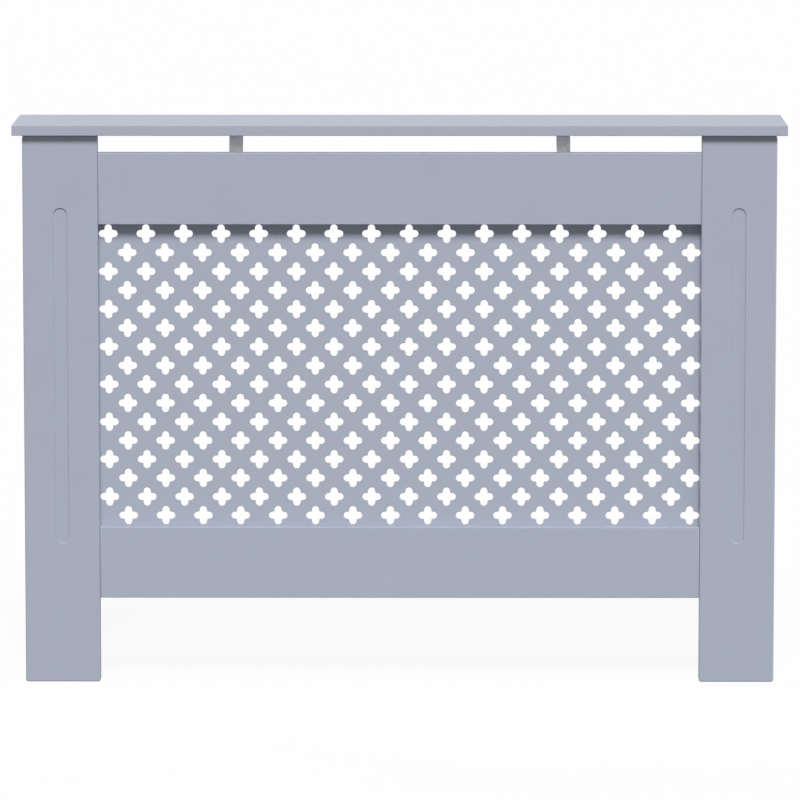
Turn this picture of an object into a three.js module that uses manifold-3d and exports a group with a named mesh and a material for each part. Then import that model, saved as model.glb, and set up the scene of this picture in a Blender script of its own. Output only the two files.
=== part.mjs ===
// A radiator cover cabinet: painted boards that stand round a wall radiator, closed in front by
// a sheet pierced with cross-shaped holes.
// Millimetres. +X is to the right, +Y towards the wall, +Z up. The origin lies on the floor
// under the middle of the shelf.

import * as THREE from "three";
import { mergeVertices } from "three/addons/utils/BufferGeometryUtils.js";
import Module from "manifold-3d";

const wasm = await Module();
wasm.setup();

// ---- Driving sizes: boards ----

const SHELF_WIDTH = 1120;
const SHELF_DEPTH = 190;
const SHELF_THICKNESS = 15;
const CABINET_HEIGHT = 815;
const SIDE_OVERHANG = 14.5; // shelf past the outer side of a leg
const FRONT_OVERHANG = 10; // shelf past the front of the legs
const FRONT_THICKNESS = 18; // legs and rails, which stand flush
const LEG_WIDTH = 109;
const SIDE_PANEL_THICKNESS = 15;
const RAIL_HEIGHT = 104;
const FLOOR_GAP = 124; // below the lower rail
const AIR_SLOT = 25.5; // between the upper rail and the shelf
const EDGE_RADIUS = 2; // round-over of the edges of legs and rails
const SHELF_EDGE_RADIUS = 1;
const SEAM = 0.1; // glue line or paint film between pieces that meet

// ---- Driving sizes: routed groove in each leg ----

const FLUTE_WIDTH = 20;
const FLUTE_DEPTH = 1.6;
const FLUTE_COVE_RADIUS = 3.2; // between the flat floor and the rim
const FLUTE_OVERRUN = 24; // groove past the grille opening, at each end

// ---- Driving sizes: pierced sheet ----

const SHEET_THICKNESS = 3;
const SHEET_LAP = 25; // sheet behind the boards round the opening
const HOLE_ROWS = 16;
const HOLES_PER_ROW = 16;
const SLOT_LENGTH = 27.3; // a hole is two such slots, crossed
const SLOT_WIDTH = 10.6;
const ROW_MARGIN = 15; // from a rail to the middle of the nearest row
const COLUMN_MARGIN = 14; // from a leg to the middle of the nearest hole

// ---- Driving sizes: dowels ----

const DOWEL_DIAMETER = 8;
const DOWEL_LENGTH = 30;
const DOWEL_DEPTH_IN_LEG = 12; // side panel dowels, let into the back of a leg
const RAIL_DOWEL_INSET = 24; // from the edge of a rail to its dowel
const SIDE_DOWELS = 3;
const SIDE_DOWEL_INSET = 90; // from the floor and the shelf to the end dowels

// ---- Driving sizes: metal fittings ----

const BRACE_OFFSET = 237; // middle of a brace from the middle of the cabinet
const BRACE_WIDTH = 20;
const BRACE_THICKNESS = 1.5;
const BRACE_FLANGE = 26;
const BRACE_DROP = 2; // lower bend below the top of the upper rail
const ANGLE_LEG = 25;
const ANGLE_WIDTH = 18;
const ANGLE_THICKNESS = 2;
const ANGLE_INSET = 38; // from each end of the side panel to the middle of an angle
const SCREW_DIAMETER = 3.5;
const SCREW_LENGTH = 12;
const SCREW_TIP = 2.5;
const HEAD_DIAMETER = 7;
const HEAD_HEIGHT = 2.2;

// ---- Clearances and fineness ----

const HOLE_CLEARANCE = 0.3; // round a dowel or a screw
const END_CLEARANCE = 0.5; // past the end of a dowel or a screw
const CUT_OVERRUN = 1; // a cutter starts this far outside the board
const ROUND_SIDES = 8; // faces round a dowel or a screw
const ROUND_OVER_STEPS = 3;
const FLUTE_COVE_STEPS = 3;
const FLUTE_END_STEPS = 10;

// ---- Places that follow from them ----

const LEFT = -1;
const RIGHT = 1;
const RIGHTWARDS = new THREE.Vector3(1, 0, 0);
const WALLWARDS = new THREE.Vector3(0, 1, 0);
const UPWARDS = new THREE.Vector3(0, 0, 1);

const shelfUnderside = CABINET_HEIGHT - SHELF_THICKNESS;
const boardTop = shelfUnderside - SEAM; // legs and side panels stop just under the shelf
const legOuter = SHELF_WIDTH / 2 - SIDE_OVERHANG;
const legInner = legOuter - LEG_WIDTH;
const legMiddle = legOuter - LEG_WIDTH / 2;
const frontFace = -SHELF_DEPTH / 2 + FRONT_OVERHANG;
const frontBack = frontFace + FRONT_THICKNESS;
const frontMiddle = frontFace + FRONT_THICKNESS / 2;
const wallFace = SHELF_DEPTH / 2;
const lowerRailTop = FLOOR_GAP + RAIL_HEIGHT;
const upperRailTop = shelfUnderside - AIR_SLOT;
const upperRailBottom = upperRailTop - RAIL_HEIGHT;
const openingWidth = 2 * legInner;
const openingHeight = upperRailBottom - lowerRailTop;
const openingMiddle = (upperRailBottom + lowerRailTop) / 2;
const sidePanelMiddle = legOuter - SIDE_PANEL_THICKNESS / 2;
const sidePanelInner = legOuter - SIDE_PANEL_THICKNESS;
const sidePanelFront = frontBack + SEAM;

// ---- Finishes ----

function finish(color, roughness, metalness) {
  return new THREE.MeshStandardMaterial({ color, roughness, metalness, flatShading: true });
}

const greyPaint = finish(0xa6acba, 0.45, 0);
const zincedSteel = finish(0x9a9a9b, 0.35, 0.9);
const beech = finish(0xc9a272, 0.65, 0);

// ---- Solids: joining and cutting ----

function toSolid(geometry) {
  const bare = geometry.clone();
  bare.deleteAttribute("normal");
  bare.deleteAttribute("uv");
  const merged = mergeVertices(bare, 1e-4);
  return new wasm.Manifold(
    new wasm.Mesh({
      numProp: 3,
      vertProperties: merged.attributes.position.array,
      triVerts: new Uint32Array(merged.index.array),
    }),
  );
}

function toGeometry(solid) {
  const mesh = solid.getMesh();
  const geometry = new THREE.BufferGeometry();
  geometry.setAttribute("position", new THREE.BufferAttribute(mesh.vertProperties, 3));
  geometry.setIndex(new THREE.BufferAttribute(mesh.triVerts, 1));
  return geometry;
}

function cut(geometry, cutters) {
  let solid = toSolid(geometry);
  for (const cutter of cutters) solid = solid.subtract(toSolid(cutter));
  return toGeometry(solid);
}

// A closed skin over flat rings of equal count. Each ring runs anticlockwise as seen from the
// last ring's side, and the first and last rings are convex.
function loft(rings) {
  const count = rings[0].length;
  const index = [];
  for (let level = 0; level < rings.length - 1; level++) {
    for (let side = 0; side < count; side++) {
      const here = level * count + side;
      const next = level * count + ((side + 1) % count);
      index.push(here, next, next + count, here, next + count, here + count);
    }
  }
  const last = (rings.length - 1) * count;
  for (let side = 1; side < count - 1; side++) {
    index.push(0, side + 1, side, last, last + side, last + side + 1);
  }
  const geometry = new THREE.BufferGeometry().setFromPoints(rings.flat());
  geometry.setIndex(index);
  return geometry;
}

// Turns a form drawn in the front view, x across and y up with z towards the viewer, upright.
function stoodUp(geometry) {
  return geometry.rotateX(Math.PI / 2);
}

function roundOver(step, radius) {
  const angle = ((step / ROUND_OVER_STEPS) * Math.PI) / 2;
  return {
    inset: radius * (1 - Math.cos(angle)),
    depth: radius * (1 - Math.sin(angle)),
  };
}

function rectangle(left, right, low, high, level) {
  return [
    new THREE.Vector3(left, low, level),
    new THREE.Vector3(right, low, level),
    new THREE.Vector3(right, high, level),
    new THREE.Vector3(left, high, level),
  ];
}

// ---- Boards ----

// A board seen from the front, its foot at z = 0 and its face at y = 0. The round-over runs along
// both sides and the foot of its face, and along the top as well where topRounded says so.
function frontBoard(width, height, topRounded) {
  const rings = [rectangle(-width / 2, width / 2, 0, height, -FRONT_THICKNESS)];
  for (let step = 0; step <= ROUND_OVER_STEPS; step++) {
    const { inset, depth } = roundOver(step, EDGE_RADIUS);
    const side = width / 2 - inset;
    rings.push(rectangle(-side, side, inset, height - (topRounded ? inset : 0), -depth));
  }
  return stoodUp(loft(rings));
}

// The shelf, rounded above and below along its front and its ends; its back edge is square.
function shelfBoard() {
  const ring = (inset, level) => {
    const side = SHELF_WIDTH / 2 - inset;
    return rectangle(-side, side, -SHELF_DEPTH / 2 + inset, SHELF_DEPTH / 2, level);
  };
  const rings = [];
  for (let step = ROUND_OVER_STEPS; step >= 0; step--) {
    const { inset, depth } = roundOver(step, SHELF_EDGE_RADIUS);
    rings.push(ring(inset, depth));
  }
  for (let step = 0; step <= ROUND_OVER_STEPS; step++) {
    const { inset, depth } = roundOver(step, SHELF_EDGE_RADIUS);
    rings.push(ring(inset, SHELF_THICKNESS - depth));
  }
  return loft(rings);
}

// A long ring with half-round ends, drawn in the front view.
function stadium(halfWidth, halfStraight, middle, level) {
  const points = [];
  for (const end of [1, -1]) {
    for (let step = 0; step <= FLUTE_END_STEPS; step++) {
      const angle = (step / FLUTE_END_STEPS) * Math.PI;
      const across = end * halfWidth * Math.cos(angle);
      const along = end * (halfStraight + halfWidth * Math.sin(angle));
      points.push(new THREE.Vector3(across, middle + along, level));
    }
  }
  return points;
}

// The cutter for a leg's groove: a flat floor whose edge curves up in a cove to the rim, all
// round. A groove deeper than the cove has a straight wall above it.
function fluteCutter() {
  const halfWidth = FLUTE_WIDTH / 2;
  const halfStraight = openingHeight / 2 + FLUTE_OVERRUN - halfWidth;
  const rimAngle = Math.acos(Math.max(0, 1 - FLUTE_DEPTH / FLUTE_COVE_RADIUS));
  const rings = [];
  for (let step = 0; step <= FLUTE_COVE_STEPS; step++) {
    const angle = (step / FLUTE_COVE_STEPS) * rimAngle;
    const inset = FLUTE_COVE_RADIUS * (Math.sin(rimAngle) - Math.sin(angle));
    const rise = FLUTE_COVE_RADIUS * (1 - Math.cos(angle));
    rings.push(stadium(halfWidth - inset, halfStraight, openingMiddle, rise - FLUTE_DEPTH));
  }
  rings.push(stadium(halfWidth, halfStraight, openingMiddle, CUT_OVERRUN));
  return stoodUp(loft(rings));
}

// ---- Round pieces and the holes for them ----

const UP_THE_AXIS = new THREE.Vector3(0, 1, 0);

function along(axis) {
  return new THREE.Quaternion().setFromUnitVectors(UP_THE_AXIS, axis);
}

// A drill that enters at a point and runs to a depth; the point is in the board's own frame.
function drill(entry, into, depth, diameter) {
  const length = depth + CUT_OVERRUN;
  const radius = diameter / 2;
  const geometry = new THREE.CylinderGeometry(radius, radius, length, ROUND_SIDES);
  geometry.applyQuaternion(along(into));
  const middle = entry.clone().addScaledVector(into, length / 2 - CUT_OVERRUN);
  return geometry.translate(middle.x, middle.y, middle.z);
}

// A dowel crosses the seam between two boards. It reaches back into the first board and ahead
// into the second.
function dowelHole(dowel, forward, origin) {
  const into = dowel.axis.clone().multiplyScalar(forward ? 1 : -1);
  const reach = forward ? dowel.ahead : DOWEL_LENGTH - dowel.ahead;
  const entry = dowel.seam.clone().sub(origin);
  return drill(entry, into, reach + END_CLEARANCE, DOWEL_DIAMETER + 2 * HOLE_CLEARANCE);
}

function dowelMesh(dowel) {
  const radius = DOWEL_DIAMETER / 2;
  const geometry = new THREE.CylinderGeometry(radius, radius, DOWEL_LENGTH, ROUND_SIDES);
  const mesh = piece(dowel.name, geometry, beech);
  mesh.quaternion.copy(along(dowel.axis));
  mesh.position.copy(dowel.seam).addScaledVector(dowel.axis, dowel.ahead - DOWEL_LENGTH / 2);
  return mesh;
}

// A screw's seat is the point on the metal where its head rests.
function screwHole(screw, origin) {
  const entry = screw.seat.clone().sub(origin);
  const depth = SCREW_LENGTH + END_CLEARANCE;
  return drill(entry, screw.into, depth, SCREW_DIAMETER + 2 * HOLE_CLEARANCE);
}

function screwMesh(screw) {
  const shank = SCREW_DIAMETER / 2;
  const head = HEAD_DIAMETER / 2;
  const profile = [
    new THREE.Vector2(0, -SCREW_LENGTH),
    new THREE.Vector2(shank, -SCREW_LENGTH + SCREW_TIP),
    new THREE.Vector2(shank, 0),
    new THREE.Vector2(head, 0),
    new THREE.Vector2(shank, HEAD_HEIGHT),
    new THREE.Vector2(0, HEAD_HEIGHT),
  ];
  const mesh = piece(screw.name, new THREE.LatheGeometry(profile, ROUND_SIDES), zincedSteel);
  const out = screw.into.clone().negate();
  mesh.quaternion.copy(along(out));
  mesh.position.copy(screw.seat).addScaledVector(out, SEAM);
  return mesh;
}

// ---- Where the dowels and screws go ----

function sideName(side) {
  return side === LEFT ? "left" : "right";
}

function railDowels(side, rail, railBottom) {
  const places = { low: RAIL_DOWEL_INSET, high: RAIL_HEIGHT - RAIL_DOWEL_INSET };
  return Object.entries(places).map(([place, rise]) => ({
    name: `${rail}_rail_${sideName(side)}_dowel_${place}`,
    seam: new THREE.Vector3(side * legInner, frontMiddle, railBottom + rise),
    axis: RIGHTWARDS.clone().multiplyScalar(side),
    ahead: DOWEL_LENGTH / 2,
  }));
}

function sideDowels(side) {
  const spacing = (boardTop - 2 * SIDE_DOWEL_INSET) / (SIDE_DOWELS - 1);
  return Array.from({ length: SIDE_DOWELS }, (_, i) => ({
    name: `${sideName(side)}_side_dowel_${i + 1}`,
    seam: new THREE.Vector3(side * sidePanelMiddle, frontBack, SIDE_DOWEL_INSET + i * spacing),
    axis: WALLWARDS,
    ahead: DOWEL_LENGTH - DOWEL_DEPTH_IN_LEG,
  }));
}

const upperRailDowels = { [LEFT]: railDowels(LEFT, "upper", upperRailBottom) };
upperRailDowels[RIGHT] = railDowels(RIGHT, "upper", upperRailBottom);
const lowerRailDowels = { [LEFT]: railDowels(LEFT, "lower", FLOOR_GAP) };
lowerRailDowels[RIGHT] = railDowels(RIGHT, "lower", FLOOR_GAP);

const angleBack = sidePanelInner - SEAM; // face of an angle against the side panel
const angleTop = shelfUnderside - SEAM; // face of an angle against the shelf
const anglePlaces = {
  front: sidePanelFront + ANGLE_INSET,
  rear: wallFace - ANGLE_INSET,
};

function angleScrews(side, place) {
  const reach = (ANGLE_LEG + ANGLE_THICKNESS) / 2;
  const sideways = angleBack - ANGLE_THICKNESS;
  const under = angleTop - ANGLE_THICKNESS;
  const name = `${sideName(side)}_${place}_angle`;
  return {
    panel: {
      name: `${name}_panel_screw`,
      seat: new THREE.Vector3(side * sideways, anglePlaces[place], angleTop - reach),
      into: RIGHTWARDS.clone().multiplyScalar(side),
    },
    shelf: {
      name: `${name}_shelf_screw`,
      seat: new THREE.Vector3(side * (angleBack - reach), anglePlaces[place], under),
      into: UPWARDS,
    },
  };
}

// A brace seen from the side: y towards the wall, z up, along the middle of the strip.
const braceFoot = frontBack + SEAM + BRACE_THICKNESS / 2;
const braceHead = shelfUnderside - SEAM - BRACE_THICKNESS / 2;
const braceBend = upperRailTop - BRACE_DROP;
const braceRise = braceHead - braceBend; // the middle leans back at 45 degrees

function braceScrews(side) {
  const half = BRACE_THICKNESS / 2;
  return {
    rail: {
      name: `${sideName(side)}_brace_rail_screw`,
      seat: new THREE.Vector3(side * BRACE_OFFSET, braceFoot + half, braceBend - BRACE_FLANGE / 2),
      into: WALLWARDS.clone().negate(),
    },
    shelf: {
      name: `${sideName(side)}_brace_shelf_screw`,
      seat: new THREE.Vector3(
        side * BRACE_OFFSET,
        braceFoot + braceRise + BRACE_FLANGE / 2,
        braceHead - half,
      ),
      into: UPWARDS,
    },
  };
}

// ---- Pieces ----

function piece(name, geometry, material) {
  const mesh = new THREE.Mesh(geometry, material);
  mesh.name = name;
  return mesh;
}

function placed(mesh, position) {
  mesh.position.copy(position);
  return mesh;
}

function shelf() {
  const origin = new THREE.Vector3(0, 0, shelfUnderside);
  const screws = [LEFT, RIGHT].flatMap((side) => [
    braceScrews(side).shelf,
    angleScrews(side, "front").shelf,
    angleScrews(side, "rear").shelf,
  ]);
  const geometry = cut(shelfBoard(), screws.map((screw) => screwHole(screw, origin)));
  return placed(piece("top_shelf", geometry, greyPaint), origin);
}

function legBoard(side) {
  const origin = new THREE.Vector3(side * legMiddle, frontFace, 0);
  const railEnds = [...upperRailDowels[side], ...lowerRailDowels[side]];
  const cutters = [
    fluteCutter(),
    ...railEnds.map((dowel) => dowelHole(dowel, true, origin)),
    ...sideDowels(side).map((dowel) => dowelHole(dowel, false, origin)),
  ];
  const geometry = cut(frontBoard(LEG_WIDTH, boardTop, false), cutters);
  return placed(piece(`${sideName(side)}_leg_board`, geometry, greyPaint), origin);
}

function sidePanel(side) {
  const depth = wallFace - sidePanelFront;
  const middle = (wallFace + sidePanelFront) / 2;
  const origin = new THREE.Vector3(side * sidePanelMiddle, middle, boardTop / 2);
  const cutters = [
    ...sideDowels(side).map((dowel) => dowelHole(dowel, true, origin)),
    screwHole(angleScrews(side, "front").panel, origin),
    screwHole(angleScrews(side, "rear").panel, origin),
  ];
  const board = new THREE.BoxGeometry(SIDE_PANEL_THICKNESS, depth, boardTop);
  const geometry = cut(board, cutters);
  return placed(piece(`${sideName(side)}_side_panel`, geometry, greyPaint), origin);
}

function rail(name, bottom, dowels, screws) {
  const origin = new THREE.Vector3(0, frontFace, bottom);
  const cutters = [
    ...dowels.map((dowel) => dowelHole(dowel, false, origin)),
    ...screws.map((screw) => screwHole(screw, origin)),
  ];
  const board = frontBoard(openingWidth - 2 * SEAM, RAIL_HEIGHT, true);
  return placed(piece(name, cut(board, cutters), greyPaint), origin);
}

// One hole: lobes to the right, top, left and bottom, with a notch of the sheet between two lobes.
// A lobe has a flat end, or a plain point in the two rows beside the rails.
function crossHole(x, z, pointed) {
  const halfLength = SLOT_LENGTH / 2;
  const notch = SLOT_WIDTH * 0.55;
  const endHalf = SLOT_WIDTH * 0.36;
  const lobe = pointed
    ? [[halfLength * 1.12, 0], [notch, notch]]
    : [[halfLength, -endHalf], [halfLength, endHalf], [notch, notch]];
  const points = [];
  for (let turn = 0; turn < 4; turn++) {
    const angle = (turn * Math.PI) / 2;
    for (const [a, b] of lobe) {
      points.push(new THREE.Vector2(a, b).rotateAround(new THREE.Vector2(), angle));
    }
  }
  return new THREE.Path(points.map((point) => point.add(new THREE.Vector2(x, z))));
}

// The pierced sheet behind the rails. Every second row is shifted by half a pitch.
function grilleSheet() {
  const halfWidth = openingWidth / 2 + SHEET_LAP;
  const halfHeight = openingHeight / 2 + SHEET_LAP;
  const outline = rectangle(-halfWidth, halfWidth, -halfHeight, halfHeight, 0);
  const shape = new THREE.Shape(outline.map(({ x, y }) => new THREE.Vector2(x, y)));
  const halfPitch = (openingWidth - 2 * COLUMN_MARGIN) / (2 * HOLES_PER_ROW - 1);
  const rowPitch = (openingHeight - 2 * ROW_MARGIN) / (HOLE_ROWS - 1);
  for (let row = 0; row < HOLE_ROWS; row++) {
    const z = openingHeight / 2 - ROW_MARGIN - row * rowPitch;
    const besideRail = row === 0 || row === HOLE_ROWS - 1;
    for (let hole = 0; hole < HOLES_PER_ROW; hole++) {
      const x = COLUMN_MARGIN - openingWidth / 2 + (2 * hole + (row % 2)) * halfPitch;
      shape.holes.push(crossHole(x, z, besideRail));
    }
  }
  const options = { depth: SHEET_THICKNESS, bevelEnabled: false, steps: 1 };
  const geometry = stoodUp(new THREE.ExtrudeGeometry(shape, options));
  const back = frontBack + SEAM + SHEET_THICKNESS;
  return placed(
    piece("grille_sheet", geometry, greyPaint),
    new THREE.Vector3(0, back, openingMiddle),
  );
}

// A bent strip, from the line along its middle. Each bend is mitred.
function stripShape(middleLine, thickness) {
  const offset = (sign) =>
    middleLine.map((point, i) => {
      const before = middleLine[Math.max(i - 1, 0)];
      const after = middleLine[Math.min(i + 1, middleLine.length - 1)];
      const inwards = point.clone().sub(before);
      const outwards = after.clone().sub(point);
      if (inwards.length() === 0) inwards.copy(outwards);
      if (outwards.length() === 0) outwards.copy(inwards);
      const normal = inwards.normalize().add(outwards.normalize()).normalize();
      const spread = thickness / 2 / normal.dot(outwards);
      return new THREE.Vector2(-normal.y, normal.x).multiplyScalar(sign * spread).add(point);
    });
  return new THREE.Shape([...offset(-1), ...offset(1).reverse()]);
}

// Extrudes a side view, y across and z up, to a width centred on the middle plane x = 0.
function extrudedAcross(shape, width) {
  const options = { depth: width, bevelEnabled: false, steps: 1 };
  const geometry = new THREE.ExtrudeGeometry(shape, options).translate(0, 0, -width / 2);
  return geometry.rotateX(Math.PI / 2).rotateZ(Math.PI / 2);
}

function brace(side) {
  const origin = new THREE.Vector3(side * BRACE_OFFSET, braceFoot, braceBend);
  const middleLine = [
    new THREE.Vector2(0, -BRACE_FLANGE),
    new THREE.Vector2(0, 0),
    new THREE.Vector2(braceRise, braceRise),
    new THREE.Vector2(braceRise + BRACE_FLANGE, braceRise),
  ];
  const strip = extrudedAcross(stripShape(middleLine, BRACE_THICKNESS), BRACE_WIDTH);
  const screws = braceScrews(side);
  const geometry = cut(strip, [screwHole(screws.rail, origin), screwHole(screws.shelf, origin)]);
  return placed(piece(`${sideName(side)}_brace_strip`, geometry, zincedSteel), origin);
}

// An angle in the corner between a side panel and the shelf, seen from the front.
function angle(side, place) {
  const origin = new THREE.Vector3(side * angleBack, anglePlaces[place], angleTop);
  const corner = [
    [0, 0],
    [0, -ANGLE_LEG],
    [-ANGLE_THICKNESS, -ANGLE_LEG],
    [-ANGLE_THICKNESS, -ANGLE_THICKNESS],
    [-ANGLE_LEG, -ANGLE_THICKNESS],
    [-ANGLE_LEG, 0],
  ].map(([inwards, up]) => new THREE.Vector2(side * inwards, up));
  const options = { depth: ANGLE_WIDTH, bevelEnabled: false, steps: 1 };
  const bent = new THREE.ExtrudeGeometry(new THREE.Shape(corner), options);
  const upright = stoodUp(bent.translate(0, 0, -ANGLE_WIDTH / 2));
  const screws = angleScrews(side, place);
  const geometry = cut(upright, [screwHole(screws.panel, origin), screwHole(screws.shelf, origin)]);
  return placed(piece(`${sideName(side)}_${place}_angle`, geometry, zincedSteel), origin);
}

// ---- Assembly ----

function side(which) {
  const group = new THREE.Group();
  const dowels = sideDowels(which).map(dowelMesh);
  group.add(legBoard(which), sidePanel(which), ...dowels);
  for (const place of Object.keys(anglePlaces)) {
    const screws = angleScrews(which, place);
    group.add(angle(which, place), screwMesh(screws.panel), screwMesh(screws.shelf));
  }
  return group;
}

function front() {
  const group = new THREE.Group();
  const upper = [...upperRailDowels[LEFT], ...upperRailDowels[RIGHT]];
  const lower = [...lowerRailDowels[LEFT], ...lowerRailDowels[RIGHT]];
  const screws = [braceScrews(LEFT).rail, braceScrews(RIGHT).rail];
  group.add(rail("upper_rail", upperRailBottom, upper, screws));
  group.add(rail("lower_rail", FLOOR_GAP, lower, []));
  group.add(grilleSheet(), ...upper.map(dowelMesh), ...lower.map(dowelMesh));
  return group;
}

function top() {
  const group = new THREE.Group();
  group.add(shelf());
  for (const which of [LEFT, RIGHT]) {
    const screws = braceScrews(which);
    group.add(brace(which), screwMesh(screws.rail), screwMesh(screws.shelf));
  }
  return group;
}

const cabinet = new THREE.Group();
cabinet.name = "radiator_cover_cabinet";
cabinet.add(side(LEFT), side(RIGHT), front(), top());

export default cabinet;
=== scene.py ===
"""Looks of a radiator cover cabinet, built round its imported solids.

Metres. +X is to the right as seen from the room, +Y towards the wall, +Z up. The origin lies on
the floor under the middle of the shelf.
"""

from __future__ import annotations

import logging
import math
from abc import ABC, abstractmethod
from collections.abc import Callable, Iterable, Iterator, Sequence
from contextlib import contextmanager
from dataclasses import dataclass, field
from enum import Enum
from functools import cache

import bmesh
import bpy
from mathutils import Matrix, Vector

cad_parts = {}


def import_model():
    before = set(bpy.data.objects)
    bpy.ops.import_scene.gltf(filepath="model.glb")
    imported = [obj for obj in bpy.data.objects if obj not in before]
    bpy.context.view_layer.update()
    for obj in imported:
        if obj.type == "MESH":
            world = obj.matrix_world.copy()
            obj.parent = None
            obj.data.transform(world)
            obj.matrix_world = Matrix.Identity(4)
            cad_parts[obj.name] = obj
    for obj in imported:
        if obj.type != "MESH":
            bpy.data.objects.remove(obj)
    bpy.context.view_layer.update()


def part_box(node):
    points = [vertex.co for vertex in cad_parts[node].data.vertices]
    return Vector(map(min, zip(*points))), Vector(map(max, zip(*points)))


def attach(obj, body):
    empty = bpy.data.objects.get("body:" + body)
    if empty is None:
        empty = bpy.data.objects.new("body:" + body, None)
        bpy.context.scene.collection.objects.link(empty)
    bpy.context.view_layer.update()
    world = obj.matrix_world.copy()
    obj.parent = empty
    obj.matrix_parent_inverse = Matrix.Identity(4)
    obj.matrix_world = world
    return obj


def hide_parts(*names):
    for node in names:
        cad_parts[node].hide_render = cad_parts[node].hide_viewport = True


log = logging.getLogger("cabinet")

MM = 0.001
TOUCH = 0.02 * MM  # how near to a plane a vertex has to lie to count as on it
SAME_PLACE = 0.0001 * MM  # how near two vertices have to lie to be merged when a mesh is closed
EASING_STEPS = 2  # faces along a small easing
NOISE_REACH = (0.3, 0.7)  # where nearly all of the noise lies

Obj = bpy.types.Object
Node = bpy.types.Node
Socket = bpy.types.NodeSocket
Triple = tuple[float, float, float]
Chooser = Callable[..., bool]


class Side(Enum):
    """A side of the cabinet, as seen from the room."""

    LEFT = -1
    RIGHT = 1

    @property
    def label(self) -> str:
        """The word that node names use for this side."""
        return self.name.lower()

    @property
    def inwards(self) -> Direction:
        """The direction from this side towards the middle."""
        return Direction.RIGHTWARDS if self is Side.LEFT else Direction.LEFTWARDS


class Slot(Enum):
    """The record's material slots."""

    GREY_PAINT = "grey_paint"
    ZINCED_STEEL = "zinced_steel"
    BEECH = "beech"


class Direction(Enum):
    """A direction in the row frame."""

    RIGHTWARDS = (1.0, 0.0, 0.0)
    LEFTWARDS = (-1.0, 0.0, 0.0)
    WALLWARDS = (0.0, 1.0, 0.0)
    DOWNWARDS = (0.0, 0.0, -1.0)

    @property
    def vector(self) -> Vector:
        """The direction as a vector."""
        return Vector(self.value)


# ---- Work on meshes ----


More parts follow.
